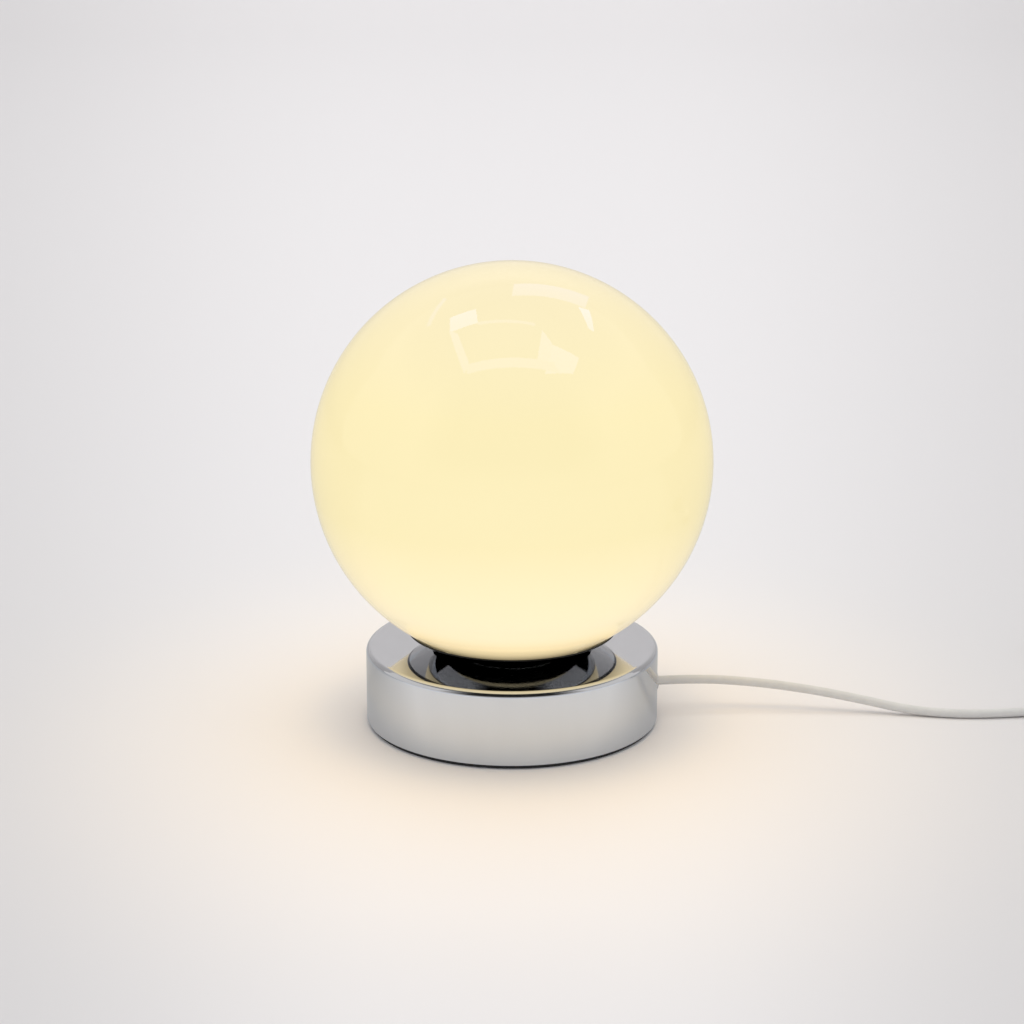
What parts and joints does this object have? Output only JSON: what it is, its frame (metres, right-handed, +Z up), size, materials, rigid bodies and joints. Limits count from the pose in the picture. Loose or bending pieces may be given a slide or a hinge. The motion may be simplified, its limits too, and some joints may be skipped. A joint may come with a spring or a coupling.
{
  "type": "table lamp",
  "caption": "Round table lamp: lit opal glass globe in a shallow chrome dish on a flat chrome base, screw bulb inside, white mains lead with rocker switch and flat plug.",
  "frame": {"origin": "on the floor, under the middle of the round base", "axes": "+Z up along the lamp's axis, +X to the side where the lead leaves, the pictured side faces -Y"},
  "size_m": [0.5567, 0.2126, 0.2351],
  "materials": {
    "chrome": "mirror-polished chrome plate",
    "pad": "matt dark foam",
    "plate_steel": "dark painted sheet steel",
    "weight_iron": "rough cast iron",
    "zinc_steel": "zinc-plated steel",
    "spring_steel": "polished spring steel",
    "soft_ring": "soft clear-white silicone",
    "opal_glass": "glossy opal glass, lit warm from inside",
    "holder_plastic": "white heat-proof plastic",
    "ceramic": "white ceramic",
    "brass": "plain brass",
    "bulb_metal": "nickel-plated sheet",
    "dark_glass": "black insulating glass",
    "bulb_white": "white moulded plastic",
    "bulb_opal": "satin opal plastic, lit",
    "phosphor": "yellow phosphor",
    "circuit_green": "green circuit board",
    "cord_white": "white flexible sheath",
    "tie_grey": "grey woven strap",
    "live_brown": "brown insulation",
    "neutral_blue": "blue insulation",
    "fitting_white": "white moulded plastic",
    "nickel": "nickel plate"
  },
  "bodies": {
    "base": {"base_shell": "chrome", "neck_ring": "chrome", "dish": "chrome", "base_pad": "pad", "bottom_plate": "plate_steel", "base_weight": "weight_iron", "plate_posts": "zinc_steel", "plate_screws": "zinc_steel", "tube_washers": "zinc_steel", "tube_nuts": "zinc_steel", "threaded_tube": "zinc_steel", "clamp_screws": "zinc_steel", "switch_screws": "zinc_steel", "rocker_pin": "zinc_steel", "terminal_screws": "zinc_steel", "glass_spring": "spring_steel", "cord_clamp": "spring_steel", "glass_ring": "soft_ring", "holder_cap": "holder_plastic", "holder_sleeve": "holder_plastic", "holder_insert": "ceramic", "screw_shell": "brass", "centre_contact": "brass", "terminal_blocks": "brass", "live_contact": "brass", "load_contact": "brass", "cord_inside": "cord_white", "cord_lead": "cord_white", "cord_link": "cord_white", "cord_coil": "cord_white", "cord_tail": "cord_white", "cord_grommet": "cord_white", "plug_relief": "cord_white", "coil_tie": "tie_grey", "live_wire": "live_brown", "neutral_wire": "neutral_blue", "switch_wires": "neutral_blue", "switch_base": "fitting_white", "switch_cover": "fitting_white", "plug_body": "fitting_white", "plug_pins": "nickel"},
    "globe": {"globe": "opal_glass"},
    "bulb": {"bulb_cap": "bulb_metal", "bulb_insulator": "dark_glass", "bulb_tip": "brass", "bulb_housing": "bulb_white", "bulb_diffuser": "bulb_opal", "led_board": "bulb_metal", "led_chips": "phosphor", "led_driver": "circuit_green"},
    "rocker": {"rocker": "fitting_white"}
  },
  "joints": [
    {"name": "globe_lift", "type": "slide", "parent": "base", "child": "globe", "axis": [0, 0, 1], "range_m": [0, 0.145]},
    {"name": "bulb_turn", "type": "hinge", "parent": "base", "child": "bulb", "pos_m": [0, 0, 0.1], "axis": [0, 0, 1], "range_deg": [0, 1440]},
    {"name": "switch_rocker", "type": "hinge", "parent": "base", "child": "rocker", "pos_m": [0.337, 0.0026, 0.011], "axis": [0, 1, 0], "range_deg": [0, 20]}
  ]
}
